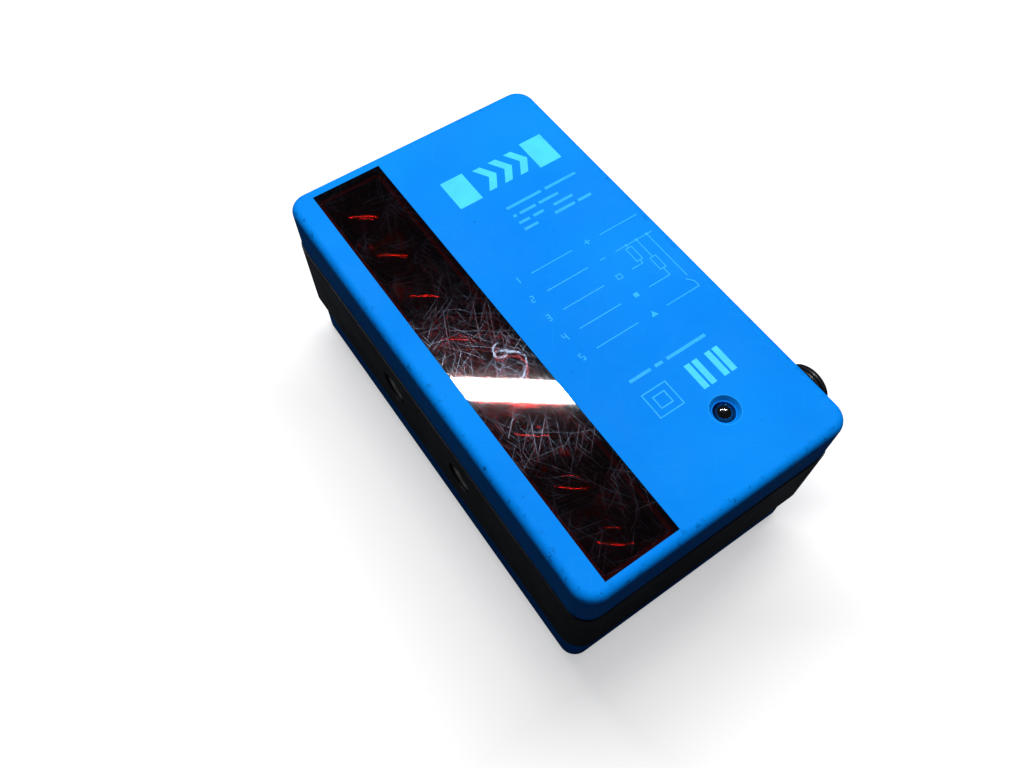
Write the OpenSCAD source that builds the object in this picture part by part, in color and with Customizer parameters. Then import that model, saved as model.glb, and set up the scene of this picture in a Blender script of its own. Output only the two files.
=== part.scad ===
// Photoelectric sensor: a flat block housing with a long red window, a status light and a round plug.
// Origin at the centre of the flat rear face. +X points to the plug side, +Y along the length,
// +Z out of the window face. All sizes are in millimetres.

/* [Housing] */
// Length of the middle body, along Y
body_l = 120.4; // [119.5:0.1:123]
// Width of the middle body, along X
body_w = 70.4; // [70:0.1:73]
// Height from the rear face to the window face
housing_h = 50; // [49.5:0.1:51]
// Height of the seam between rear cover and middle body
rear_seam_z = 15.2; // [14:0.1:16]
// Height of the seam between middle body and front cover
cover_seam_z = 37; // [36.4:0.1:38]
// Radius of the upright corners of the middle body
corner_r = 5.2; // [4:0.1:6]
// Step from the middle body in to the front cover
cover_step = 0.3; // [0.2:0.05:0.6]
// Step from the middle body in to the rear cover
rear_step = 1.3; // [0.8:0.1:1.5]
// Rounding of the front cover's top edge
top_edge_r = 2; // [1:0.1:2.2]
// Rounding of the rear cover's bottom edge
rear_edge_r = 1; // [0.5:0.1:1.5]
// Wall thickness of both covers
cover_wall = 2.4; // [2.2:0.1:2.6]
// Wall thickness of the middle body
body_wall = 2.8; // [2.6:0.1:3]
// Thickness of the front plate of the front cover
plate_t = 2.65; // [2.6:0.05:2.8]
// Thickness of the rear plate of the rear cover
rear_plate_t = 2.6; // [2.4:0.1:3]

/* [Window] */
// Width of the window, along X
window_w = 18; // [17:0.1:18.4]
// Length of the window, along Y
window_l = 113.8; // [112.6:0.1:114]
// Centre of the window across the housing
window_x = -19.6; // [-19.8:0.1:-19.4]
// Thickness of the window plate
window_t = 2; // [1.9:0.05:2.05]
// Thickness of the foam seal under the window
window_seal_t = 0.6; // [0.5:0.05:0.65]
// Width of the ledge that carries the window
ledge_w = 1.2; // [1:0.1:1.3]

/* [Status light] */
// Place of the status light across the housing
light_x = 14.2; // [12:0.1:15]
// Place of the status light along the housing
light_y = -42.8; // [-44:0.1:-41]
// Radius of the light guide
light_r = 2.45; // [2.2:0.05:2.5]
// Outer radius of the countersink round the light guide
light_sink_r = 3.45; // [3.2:0.05:3.6]

/* [Plug] */
// Radius over the thread of the M12 plug
plug_r = 6; // [5.95:0.01:6]
// How far the plug stands out of the middle body
plug_out = 13.2; // [12:0.1:14]
// Length of the plain neck between the middle body and the thread
neck_l = 1; // [0.8:0.1:1.5]
// Place of the plug along the housing
plug_y = -43; // [-43.5:0.1:-42.5]
// Height of the plug's axis over the rear face
plug_z = 26.5; // [26:0.1:27]
// Radius of the turning collar of the plug
collar_r = 7; // [6.9:0.05:7.1]
// Running clearance round the turning collar
running_gap = 0.05; // [0.03:0.01:0.08]
// Radius of the socket inside the plug
socket_r = 4.3; // [4.2:0.05:4.4]
// Radius of one contact pin
pin_r = 0.5; // [0.4:0.05:0.5]
// Distance of the outer pins from the plug's axis
pin_circle_r = 2.5; // [2.3:0.1:2.6]

/* [Mounting inserts] */
// Distance between the two threaded inserts
insert_pitch = 28.7; // [26:0.1:30]
// Middle of the pair along the housing
insert_y = -1; // [-3:0.1:1]
// Height of the inserts over the rear face
insert_z = 26.5; // [26:0.1:27]
// Core radius of the M5 thread
insert_bore_r = 2.1; // [2:0.05:2.2]
// Outer radius of an insert
insert_r = 3.6; // [3.4:0.1:3.8]
// Length of an insert
insert_l = 6.4; // [6:0.1:6.4]

/* [Optics] */
// Number of lenses in the row
lens_count = 8; // [8:1:8]
// Distance from one lens to the next
lens_pitch = 14; // [13.8:0.05:14]
// Radius of one lens
lens_r = 6; // [5.8:0.05:6.05]
// Rise of the lens dome over its plate
lens_rise = 2.8; // [2:0.1:2.9]
// Width of the optics carrier
carrier_w = 14; // [13.8:0.1:14]

/* [Electronics] */
// Width of the main board
board_w = 56; // [54:0.5:56]
// Length of the main board
board_l = 102; // [100:0.5:102]
// Height of the underside of the main board
board_z = 10; // [9.6:0.1:10]
// Thickness of both circuit boards
board_t = 1.6; // [1.5:0.05:1.6]

/* [Hidden] */
$fn = 96;
skin = 0.02;
fit_gap = 0.2;
cut = 1;

cover_w = body_w - 2 * cover_step;
cover_l = body_l - 2 * cover_step;
cover_r = corner_r - cover_step;
rear_w = body_w - 2 * rear_step;
rear_l = body_l - 2 * rear_step;
rear_r = corner_r - rear_step;
body_in_w = body_w - 2 * body_wall;
body_in_l = body_l - 2 * body_wall;
inner_r = 2.2;
plate_z = housing_h - plate_t;
shadow_gap_h = 0.6;
shadow_gap_d = 0.5;

seal_w = 1;
seal_h = 0.8;
seal_inset = 0.8;
cover_seal_w = cover_w - 2 * seal_inset;
cover_seal_l = cover_l - 2 * seal_inset;
rear_seal_inset = 0.5;
rear_seal_w = rear_w - 2 * rear_seal_inset;
rear_seal_l = rear_l - 2 * rear_seal_inset;

post_inset = 2.8;
post_x = body_in_w / 2 - post_inset;
post_y = body_in_l / 2 - post_inset;
post_r = 3;
screw_r = 1.2;
screw_hole_r = 1.35;
screw_head_r = 2.25;
screw_head_h = 2.2;
screw_head_z = 0.35;
screw_sink_r = 2.45;
screw_top_z = 42;
screw_hole_top_z = screw_top_z + 0.6;
hex_r = 1.15;
hex_depth = 1.3;

tongue_w = rear_w - 2 * cover_wall - 2 * fit_gap;
tongue_l = rear_l - 2 * cover_wall - 2 * fit_gap;
tongue_r = 1.6;
tongue_t = 1.2;
tongue_h = 2.4;
tongue_root_w = 2.7;
tongue_root_h = 1.4;
rear_in_r = 1.8;

window_gap = 0.1;
window_top_z = housing_h - 0.05;
window_z = window_top_z - window_t;
window_y = -0.3;
opening_w = window_w - 2 * ledge_w;
opening_l = window_l - 2 * ledge_w;
seal_z = window_z - window_seal_t;
ledge_t = 1.2;
ledge_wall_x = 1.2;
ledge_wall_y = 0.3;
ledge_z = seal_z - ledge_t;

light_gap = 0.1;
light_sink_h = 1.1;
light_sink_step = 0.25;
light_dome_z = housing_h - 0.1 - light_r;
light_flange_r = light_r + 0.95;
light_flange_h = 1;

lens_plate_t = 1.2;
carrier_wall = 0.8;
lens_plate_gap = 0.1;
lens_plate_w = carrier_w - 2 * (carrier_wall + lens_plate_gap);
film_t = 0.3;
carrier_l = lens_count * lens_pitch + carrier_wall;
film_z = ledge_z - 0.15 - film_t;
lens_z = film_z - lens_rise - lens_plate_t - 0.5;
optics_board_z = 25;
carrier_z = optics_board_z + board_t;
chamber_r = 5.6;
chamber_floor_t = 3.4;
diode_hole_r = 3;
carrier_screw_dx = 5;
carrier_screw_dy = 28;
small_screw_r = 0.9;
small_screw_l = 6;
small_head_r = 1.8;
small_head_h = 1.2;
led_foot_r = 2.9;
led_r = 2.5;
led_h = 4.6;
diode_w = 4;
diode_h = 1.1;
diode_chip_w = 2.8;
diode_chip_h = 0.2;

body_face_x = body_w / 2;
plug_end_x = body_face_x + plug_out;
lip_x = body_face_x - 2;
boss_x = body_face_x - 11.2;
boss_r = 9.2;
neck_r = plug_r - 0.6;
lip_hole_r = plug_r + 0.1;
thread_x = body_face_x + neck_l;
ring_groove_r = 8;
ring_groove_x = boss_x + 0.8;
ring_groove_w = 1;
ring_gap = 0.1;
ring_in_r = 5.6;
ring_slot_w = 6;
collar_start_x = boss_x + 2;
collar_end_x = lip_x - 0.3;
oring_r = 0.88;
oring_x = boss_x + 5.4;
oring_groove_w = 2.1;
oring_centre_r = collar_r + 0.01 - oring_r;
carrier_start_x = boss_x + 5;
carrier_end_x = plug_end_x - 9;
pin_start_x = boss_x + 3.1;
pin_end_x = plug_end_x - 1.8;
key_w = 1.2;
key_h = 0.7;
lead_r = 2;
lead_bend_r = 5;
lead_start_x = pin_start_x - 0.2;
lead_bend_x = boss_x + 0.8;
lead_socket_w = 6;
lead_socket_l = 13;
lead_socket_h = 4.4;

insert_recess = 0.6;
insert_recess_r = 4.3;
insert_boss_r = 5.6;
insert_floor = 1.2;
insert_end_t = 0.8;
insert_chamfer = 0.45;

board_top_z = board_z + board_t;
light_foot_z = board_top_z + 1.6;
board_post_x = 25.2;
board_post_y = 46;
board_post_r = 2.6;
board_hole_r = 1.4;
board_screw_r = 1.1;
board_screw_l = 5;
board_head_r = 2.2;
board_head_h = 1.6;
board_hex_r = 1;

link_pins = 5;
link_pitch = 2.54;
link_w = 2.5;
link_base_h = 2.5;
link_socket_h = 8.5;
link_socket_z = optics_board_z - link_socket_h;
link_pin_w = 0.64;
link_hole_w = link_pin_w + fit_gap;
link_pin_h = optics_board_z - board_top_z - link_base_h - 2;

chip_x = -4;
chip_y = 14;
chip_w = 10;
chip_h = 1.8;
lead_count = 8;
lead_pitch = 1.15;
lead_l = 1.2;
lead_w = 0.5;
transistor_x = 8;
transistor_w = 6.6;
transistor_l = 6.1;
transistor_h = 2.3;
transistor_y = [-8, -22];
tab_w = 5.2;
tab_l = 1.6;
tab_h = 0.8;
capacitor_x = 14;
capacitor_r = 4;
capacitor_h = 10.5;
capacitor_y = [20, 34];
coil_x = -2;
coil_y = -34;
coil_r = 5;
coil_core_r = 3.6;
coil_flange_h = 1.4;
coil_h = 7;
status_led_w = 3.2;
status_led_l = 2.8;
status_led_h = 1.4;

// ---- shared shapes ----

// Rectangle with round corners, centred
module round_rect(w, l, r) {
    square([w - 2 * r, l], center = true);
    square([w, l - 2 * r], center = true);
    for (sx = [-1, 1], sy = [-1, 1])
        translate([sx * (w / 2 - r), sy * (l / 2 - r)])
            circle(r);
}

// Upright block with round corners, from z0 up by h
module round_block(w, l, r, z0, h) {
    translate([0, 0, z0])
        linear_extrude(h)
            round_rect(w, l, r);
}

// Round block whose top edge has the radius e
module soft_block(w, l, r, h, e) {
    round_block(w, l, r, 0, h - e);
    round_block(w - 2 * e, l - 2 * e, r - e, 0, h);
    for (s = [-1, 1]) {
        translate([s * (w / 2 - e), 0, h - e])
            rotate([90, 0, 0])
                cylinder(h = l - 2 * r, r = e, center = true);
        translate([0, s * (l / 2 - e), h - e])
            rotate([0, 90, 0])
                cylinder(h = w - 2 * r, r = e, center = true);
    }
    for (sx = [-1, 1], sy = [-1, 1])
        translate([sx * (w / 2 - r), sy * (l / 2 - r), h - e])
            rotate_extrude()
                translate([r - e, 0])
                    intersection() {
                        circle(e);
                        translate([-(r - e), -e])
                            square([r, 2 * e]);
                    }
}

// Flat ring that follows a rounded rectangle
module ring_strip(w, l, r, width, z0, h) {
    difference() {
        round_block(w, l, r, z0, h);
        round_block(w - 2 * width, l - 2 * width, max(r - width, 0.3), z0 - cut, h + 2 * cut);
    }
}

module box_at(x, y, z0, w, l, h) {
    translate([x - w / 2, y - l / 2, z0])
        cube([w, l, h]);
}

module post_at(x, y, z0, r, h) {
    translate([x, y, z0])
        cylinder(h = h, r = r);
}

module at_posts() {
    for (sx = [-1, 1], sy = [-1, 1])
        translate([sx * post_x, sy * post_y, 0])
            children();
}

module at_board_posts() {
    for (sx = [-1, 1], sy = [-1, 1])
        translate([sx * board_post_x, sy * board_post_y, 0])
            children();
}

// Children sit on the plug's axis, which runs along X
module on_plug_axis(x) {
    translate([x, plug_y, plug_z])
        rotate([0, 90, 0])
            children();
}

module at_inserts() {
    for (s = [-1, 1])
        translate([-body_face_x, insert_y + s * insert_pitch / 2, insert_z])
            rotate([0, 90, 0])
                children();
}

function lens_y(i) = (i - (lens_count - 1) / 2) * lens_pitch + window_y;

module at_carrier_screws() {
    for (sx = [-1, 1], sy = [-1, 1])
        translate([window_x + sx * carrier_screw_dx, window_y + sy * carrier_screw_dy, 0])
            children();
}

// ---- housing ----

module front_cover() {
    seam_h = housing_h - cover_seam_z;
    color("dodgerblue")
        difference() {
            union() {
                difference() {
                    translate([0, 0, cover_seam_z])
                        soft_block(cover_w, cover_l, cover_r, seam_h, top_edge_r);
                    round_block(cover_w - 2 * cover_wall, cover_l - 2 * cover_wall, cover_r - cover_wall,
                        cover_seam_z - cut, seam_h - plate_t + cut);
                }
                box_at(window_x, window_y, ledge_z, window_w + 2 * ledge_wall_x,
                    window_l + 2 * ledge_wall_y, plate_z - ledge_z + skin);
                at_posts()
                    translate([0, 0, cover_seam_z])
                        cylinder(h = ledge_z - cover_seam_z, r = post_r);
            }
            box_at(window_x, window_y, seal_z, window_w + 2 * window_gap, window_l + 2 * window_gap,
                housing_h);
            box_at(window_x, window_y, ledge_z - cut, opening_w, opening_l, housing_h);
            at_posts()
                translate([0, 0, cover_seam_z - cut])
                    cylinder(h = screw_hole_top_z - cover_seam_z + cut, r = screw_r + skin);
            post_at(light_x, light_y, plate_z - cut, light_r + light_gap, plate_t + 2 * cut);
            translate([light_x, light_y, housing_h - light_sink_h])
                cylinder(h = light_sink_h + skin, r1 = light_r + light_sink_step, r2 = light_sink_r);
        }
}

module front_window() {
    color([0.35, 0.02, 0.03, 0.7])
        box_at(window_x, window_y, window_z, window_w, window_l, window_t);
}

module window_seal() {
    color("black")
        difference() {
            box_at(window_x, window_y, seal_z, window_w, window_l, window_seal_t);
            box_at(window_x, window_y, seal_z - cut, opening_w, opening_l, window_seal_t + 2 * cut);
        }
}

module light_guide() {
    color([0.85, 0.9, 0.95, 0.5]) {
        post_at(light_x, light_y, light_foot_z, light_r, light_dome_z - light_foot_z);
        translate([light_x, light_y, light_dome_z])
            sphere(light_r);
        post_at(light_x, light_y, plate_z - light_flange_h - 0.05, light_flange_r, light_flange_h);
    }
}

module cover_seal() {
    color("black")
        ring_strip(cover_seal_w, cover_seal_l, cover_r - seal_inset, seal_w,
            cover_seam_z - seal_h, seal_h);
}

module middle_body() {
    h = cover_seam_z - rear_seam_z;
    color([0.07, 0.07, 0.08])
        difference() {
            union() {
                difference() {
                    union() {
                        round_block(body_w, body_l, corner_r, rear_seam_z, h - shadow_gap_h);
                        round_block(body_w - 2 * shadow_gap_d, body_l - 2 * shadow_gap_d,
                            corner_r - shadow_gap_d, rear_seam_z, h);
                    }
                    round_block(body_in_w, body_in_l, inner_r, rear_seam_z - cut, h + 2 * cut);
                }
                rear_tongue();
                at_posts()
                    translate([0, 0, rear_seam_z])
                        cylinder(h = h, r = post_r);
                at_inserts()
                    translate([0, 0, body_wall - skin])
                        cylinder(h = insert_recess + insert_l + insert_floor - body_wall + skin,
                            r = insert_boss_r);
                on_plug_axis(boss_x)
                    cylinder(h = body_face_x - body_wall / 2 - boss_x, r = boss_r);
            }
            cover_seal_groove();
            at_posts()
                translate([0, 0, rear_seam_z - tongue_h - cut])
                    cylinder(h = h + tongue_h + 2 * cut, r = screw_hole_r);
            at_inserts() {
                translate([0, 0, -cut])
                    cylinder(h = insert_recess + cut, r = insert_recess_r);
                cylinder(h = insert_recess + insert_l, r = insert_r + skin);
            }
            on_plug_axis(boss_x - cut)
                cylinder(h = lip_x - boss_x + cut, r = collar_r + running_gap);
            on_plug_axis(lip_x - cut)
                cylinder(h = body_face_x - lip_x + 2 * cut, r = lip_hole_r);
            on_plug_axis(ring_groove_x)
                cylinder(h = ring_groove_w, r = ring_groove_r);
        }
}

// Lip of the middle body that centres the rear cover
module rear_tongue() {
    difference() {
        union() {
            ring_strip(tongue_w, tongue_l, tongue_r, tongue_t, rear_seam_z - tongue_h, tongue_h + skin);
            ring_strip(body_in_w + 1, body_in_l + 1, inner_r, tongue_root_w, rear_seam_z, tongue_root_h);
        }
        at_posts()
            translate([0, 0, rear_seam_z - tongue_h - cut])
                cylinder(h = tongue_h + cut, r = post_r + fit_gap);
    }
}

// Groove in the top rim of the middle body for the cover seal
module cover_seal_groove() {
    ring_strip(cover_seal_w + 2 * skin, cover_seal_l + 2 * skin, cover_r - seal_inset,
        seal_w + 2 * skin, cover_seam_z - seal_h - skin, seal_h + cut);
}

// Groove in the top rim of the rear cover for the rear seal
module rear_seal_groove() {
    ring_strip(rear_seal_w + 2 * skin, rear_seal_l + 2 * skin, rear_r - rear_seal_inset,
        seal_w + 2 * skin, rear_seam_z - seal_h - skin, seal_h + cut);
}

module threaded_inserts() {
    color("goldenrod")
        at_inserts()
            translate([0, 0, insert_recess])
                difference() {
                    cylinder(h = insert_l, r = insert_r);
                    translate([0, 0, -cut])
                        cylinder(h = insert_l - insert_end_t + cut, r = insert_bore_r);
                    translate([0, 0, -skin])
                        cylinder(h = insert_chamfer, r1 = insert_bore_r + insert_chamfer,
                            r2 = insert_bore_r);
                }
}

module rear_seal() {
    color("black")
        ring_strip(rear_seal_w, rear_seal_l, rear_r - rear_seal_inset, seal_w,
            rear_seam_z - seal_h, seal_h);
}

module rear_cover() {
    color("dodgerblue")
        difference() {
            union() {
                difference() {
                    translate([0, 0, rear_seam_z])
                        mirror([0, 0, 1])
                            soft_block(rear_w, rear_l, rear_r, rear_seam_z, rear_edge_r);
                    round_block(rear_w - 2 * cover_wall, rear_l - 2 * cover_wall, rear_in_r,
                        rear_plate_t, rear_seam_z);
                }
                at_posts()
                    translate([0, 0, rear_plate_t - skin])
                        cylinder(h = rear_seam_z - rear_plate_t + skin, r = post_r);
                at_board_posts()
                    translate([0, 0, rear_plate_t - skin])
                        cylinder(h = board_z - rear_plate_t + skin, r = board_post_r);
            }
            rear_seal_groove();
            at_posts() {
                translate([0, 0, -cut])
                    cylinder(h = rear_seam_z + 2 * cut, r = screw_hole_r);
                translate([0, 0, -cut])
                    cylinder(h = screw_head_z + screw_head_h + cut, r = screw_sink_r);
            }
            at_board_posts()
                translate([0, 0, rear_plate_t + 1])
                    cylinder(h = board_z, r = board_screw_r + skin);
        }
}

module housing_screws() {
    color("silver")
        at_posts()
            difference() {
                union() {
                    translate([0, 0, screw_head_z])
                        cylinder(h = screw_head_h, r = screw_head_r);
                    translate([0, 0, screw_head_z + screw_head_h - skin])
                        cylinder(h = screw_top_z - screw_head_z - screw_head_h, r = screw_r);
                }
                translate([0, 0, screw_head_z - cut])
                    cylinder(h = cut + hex_depth, r = hex_r, $fn = 6);
            }
}

// ---- plug ----

module plug_shell() {
    color([0.06, 0.06, 0.07])
        difference() {
            union() {
                on_plug_axis(collar_start_x)
                    cylinder(h = collar_end_x - collar_start_x, r = collar_r);
                on_plug_axis(collar_end_x - skin)
                    cylinder(h = thread_x - collar_end_x + 2 * skin, r = neck_r);
                on_plug_axis(thread_x)
                    cylinder(h = plug_end_x - thread_x, r = plug_r);
            }
            on_plug_axis(oring_x - oring_groove_w / 2)
                difference() {
                    cylinder(h = oring_groove_w, r = collar_r + cut);
                    translate([0, 0, -cut])
                        cylinder(h = oring_groove_w + 2 * cut, r = oring_centre_r - oring_r - skin);
                }
            difference() {
                on_plug_axis(collar_start_x - cut)
                    cylinder(h = plug_end_x - collar_start_x + 2 * cut, r = socket_r);
                translate([carrier_end_x, plug_y - key_w / 2, plug_z + socket_r - key_h])
                    cube([plug_end_x - 1 - carrier_end_x, key_w, key_h + cut]);
            }
        }
}

module at_pins() {
    on_plug_axis(0)
        for (a = [45:90:315])
            rotate([0, 0, a])
                translate([pin_circle_r, 0, 0])
                    children();
    on_plug_axis(0)
        children();
}

module plug_contact_carrier() {
    color([0.1, 0.1, 0.1])
        difference() {
            on_plug_axis(carrier_start_x)
                cylinder(h = carrier_end_x - carrier_start_x, r = socket_r - skin);
            at_pins()
                translate([0, 0, carrier_start_x - cut])
                    cylinder(h = carrier_end_x - carrier_start_x + 2 * cut, r = pin_r + skin);
        }
}

module plug_contact_pins() {
    color("gold")
        at_pins() {
            translate([0, 0, pin_start_x])
                cylinder(h = pin_end_x - pin_start_x - pin_r, r = pin_r);
            translate([0, 0, pin_end_x - pin_r])
                sphere(pin_r);
        }
}

module plug_o_ring() {
    color("black")
        on_plug_axis(oring_x)
            rotate_extrude()
                translate([oring_centre_r, 0])
                    circle(oring_r);
}

module plug_retaining_ring() {
    color("silver")
        difference() {
            on_plug_axis(ring_groove_x + ring_gap)
                difference() {
                    cylinder(h = ring_groove_w - 2 * ring_gap, r = ring_groove_r - ring_gap);
                    translate([0, 0, -cut])
                        cylinder(h = ring_groove_w + 2 * cut, r = ring_in_r);
                }
            translate([ring_groove_x - cut, plug_y - ring_slot_w / 2, plug_z - ring_groove_r - cut])
                cube([3 * cut, ring_slot_w, ring_groove_r]);
        }
}

module plug_lead() {
    bend_z = plug_z - lead_bend_r;
    drop_x = lead_bend_x - lead_bend_r;
    socket_top = board_top_z + lead_socket_h;
    color([0.15, 0.15, 0.16]) {
        on_plug_axis(lead_bend_x - skin)
            cylinder(h = lead_start_x - lead_bend_x + skin, r = lead_r);
        translate([lead_bend_x, plug_y, bend_z])
            rotate([90, 0, 0])
                rotate([0, 0, 90])
                    rotate_extrude(angle = 90)
                        translate([lead_bend_r, 0])
                            circle(lead_r);
        post_at(drop_x, plug_y, socket_top, lead_r, bend_z - socket_top + skin);
    }
}

module plug_lead_socket() {
    color("ivory")
        box_at(lead_bend_x - lead_bend_r, plug_y, board_top_z, lead_socket_w, lead_socket_l, lead_socket_h);
}

// ---- optics ----

module optics_carrier() {
    color([0.05, 0.05, 0.06])
        difference() {
            box_at(window_x, window_y, carrier_z, carrier_w, carrier_l, film_z - carrier_z);
            box_at(window_x, window_y, lens_z - skin, lens_plate_w + 2 * skin, carrier_l - 2 * carrier_wall,
                film_z);
            for (i = [0:lens_count - 1]) {
                post_at(window_x, lens_y(i), carrier_z + chamber_floor_t, chamber_r, film_z);
                post_at(window_x, lens_y(i), carrier_z - cut, diode_hole_r, chamber_floor_t + 2 * cut);
            }
            at_carrier_screws()
                translate([0, 0, carrier_z - cut])
                    cylinder(h = small_screw_l + cut, r = small_screw_r + skin);
        }
}

module lens_strip() {
    dome_r = (lens_r * lens_r + lens_rise * lens_rise) / (2 * lens_rise);
    plate_top = lens_z + lens_plate_t;
    color([0.9, 0.9, 0.95, 0.4]) {
        box_at(window_x, window_y, lens_z, lens_plate_w, carrier_l - 2 * (carrier_wall + lens_plate_gap),
            lens_plate_t);
        for (i = [0:lens_count - 1])
            intersection() {
                translate([window_x, lens_y(i), plate_top + lens_rise - dome_r])
                    sphere(dome_r);
                post_at(window_x, lens_y(i), plate_top - skin, lens_r, lens_rise + cut);
            }
    }
}

module polarising_film() {
    color([0.2, 0.2, 0.22, 0.5])
        box_at(window_x, window_y, film_z, carrier_w, carrier_l, film_t);
}

module optics_board() {
    color("darkgreen")
        difference() {
            box_at(window_x, window_y, optics_board_z, carrier_w, carrier_l, board_t);
            at_carrier_screws()
                translate([0, 0, optics_board_z - cut])
                    cylinder(h = board_t + 2 * cut, r = small_screw_r + fit_gap);
        }
}

module carrier_screws() {
    color("silver")
        at_carrier_screws() {
            translate([0, 0, optics_board_z - small_head_h])
                cylinder(h = small_head_h, r = small_head_r);
            translate([0, 0, optics_board_z - skin])
                cylinder(h = board_t + small_screw_l - 0.6, r = small_screw_r);
        }
}

// Red light-emitting diodes stand under every second lens
module emitter_leds() {
    color("red")
        for (i = [0:2:lens_count - 1]) {
            post_at(window_x, lens_y(i), carrier_z, led_foot_r, 1);
            post_at(window_x, lens_y(i), carrier_z, led_r, led_h);
            translate([window_x, lens_y(i), carrier_z + led_h - skin])
                sphere(led_r);
        }
}

// Photodiodes lie under the lenses in between
module receiver_photodiodes() {
    color([0.12, 0.1, 0.1])
        for (i = [1:2:lens_count - 1]) {
            box_at(window_x, lens_y(i), carrier_z, diode_w, diode_w, diode_h);
            box_at(window_x, lens_y(i), carrier_z, diode_chip_w, diode_chip_w, diode_h + diode_chip_h);
        }
}

// ---- electronics ----

module main_board() {
    color("darkgreen")
        difference() {
            box_at(0, 0, board_z, board_w, board_l, board_t);
            at_board_posts()
                translate([0, 0, board_z - cut])
                    cylinder(h = board_t + 2 * cut, r = board_hole_r);
        }
}

module main_board_screws() {
    color("silver")
        at_board_posts()
            difference() {
                union() {
                    translate([0, 0, board_top_z])
                        cylinder(h = board_head_h, r = board_head_r);
                    translate([0, 0, board_z - board_screw_l])
                        cylinder(h = board_t + board_screw_l + skin, r = board_screw_r);
                }
                translate([0, 0, board_top_z + board_head_h / 2])
                    cylinder(h = board_head_h, r = board_hex_r, $fn = 6);
            }
}

function link_y(i) = (i - (link_pins - 1) / 2) * link_pitch;

module board_link_header() {
    color("black")
        box_at(window_x, 0, board_top_z, link_w, link_pins * link_pitch, link_base_h);
    color("gold")
        for (i = [0:link_pins - 1])
            box_at(window_x, link_y(i), board_top_z + link_base_h - skin,
                link_pin_w, link_pin_w, link_pin_h);
}

module board_link_socket() {
    color("black")
        difference() {
            box_at(window_x, 0, link_socket_z, link_w, link_pins * link_pitch, link_socket_h);
            for (i = [0:link_pins - 1])
                box_at(window_x, link_y(i), link_socket_z - cut, link_hole_w, link_hole_w,
                    link_socket_h);
        }
}

module processor_chip() {
    color([0.1, 0.1, 0.1])
        box_at(chip_x, chip_y, board_top_z, chip_w, chip_w, chip_h);
    color("silver")
        for (i = [0:lead_count - 1], s = [-1, 1])
            box_at(chip_x + s * (chip_w + lead_l) / 2, chip_y + (i - (lead_count - 1) / 2) * lead_pitch,
                board_top_z, lead_l, lead_w, lead_w);
}

module output_transistors() {
    for (y = transistor_y) {
        color([0.1, 0.1, 0.1])
            box_at(transistor_x, y, board_top_z, transistor_w, transistor_l, transistor_h);
        color("silver")
            box_at(transistor_x, y + (transistor_l + tab_l) / 2, board_top_z, tab_w, tab_l, tab_h);
    }
}

module smoothing_capacitors() {
    color("lightsteelblue")
        for (y = capacitor_y)
            post_at(capacitor_x, y, board_top_z, capacitor_r, capacitor_h);
}

module choke_coil() {
    color([0.2, 0.2, 0.2]) {
        post_at(coil_x, coil_y, board_top_z, coil_r, coil_flange_h);
        post_at(coil_x, coil_y, board_top_z, coil_core_r, coil_h);
        post_at(coil_x, coil_y, board_top_z + coil_h - coil_flange_h, coil_r, coil_flange_h);
    }
}

module status_led() {
    color("yellow")
        box_at(light_x, light_y, board_top_z, status_led_w, status_led_l, status_led_h);
}

front_cover();
front_window();
window_seal();
light_guide();
cover_seal();
middle_body();
threaded_inserts();
rear_seal();
rear_cover();
housing_screws();
plug_shell();
plug_contact_carrier();
plug_contact_pins();
plug_o_ring();
plug_retaining_ring();
plug_lead();
plug_lead_socket();
optics_carrier();
lens_strip();
polarising_film();
optics_board();
carrier_screws();
emitter_leds();
receiver_photodiodes();
main_board();
main_board_screws();
board_link_header();
board_link_socket();
processor_chip();
output_transistors();
smoothing_capacitors();
choke_coil();
status_led();
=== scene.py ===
"""Looks of the photoelectric sensor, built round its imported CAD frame.

Places and sizes are in millimetres in the frame's axes, and MM turns them into metres. Only the
floor and the lamps are given in metres.
"""

import math

import bmesh
import bpy
from mathutils import Matrix, Vector


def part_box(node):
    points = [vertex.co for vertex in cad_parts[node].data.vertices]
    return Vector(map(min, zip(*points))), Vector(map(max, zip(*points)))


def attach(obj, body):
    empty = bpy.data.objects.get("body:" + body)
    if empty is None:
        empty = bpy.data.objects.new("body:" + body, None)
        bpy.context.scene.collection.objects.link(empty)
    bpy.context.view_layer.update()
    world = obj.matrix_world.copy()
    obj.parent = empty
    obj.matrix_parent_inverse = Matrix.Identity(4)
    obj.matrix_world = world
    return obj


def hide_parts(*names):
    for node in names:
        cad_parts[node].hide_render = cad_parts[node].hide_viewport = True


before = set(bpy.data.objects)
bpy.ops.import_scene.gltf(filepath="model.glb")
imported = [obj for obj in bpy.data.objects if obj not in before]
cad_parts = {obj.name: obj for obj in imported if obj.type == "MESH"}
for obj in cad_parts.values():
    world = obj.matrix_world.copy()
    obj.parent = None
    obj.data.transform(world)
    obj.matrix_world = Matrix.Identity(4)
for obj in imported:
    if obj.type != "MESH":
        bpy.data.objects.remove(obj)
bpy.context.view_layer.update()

MM = 0.001


def corners(node):
    """Lowest and highest corner of a CAD node, in millimetres."""
    low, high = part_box(node)
    return low / MM, high / MM


COVER_LOW, COVER_HIGH = corners("front_cover")
PLUG_LOW, PLUG_HIGH = corners("plug_shell")
INSERT_LOW, INSERT_HIGH = corners("threaded_inserts")
GUIDE_LOW, GUIDE_HIGH = corners("light_guide")
GUIDE_X = (GUIDE_LOW.x + GUIDE_HIGH.x) / 2
GUIDE_Y = (GUIDE_LOW.y + GUIDE_HIGH.y) / 2
TOP_Z = COVER_HIGH.z

# ---------------------------------------------------------------- camera

CAMERA_AT = Vector((-70.1, -84.8, 207.0))
CAMERA_AIM = Vector((-18.74, -12.58, 50.0))
CAMERA_ROLL = math.radians(0.62)
CAMERA_LENS = 30.08


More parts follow.
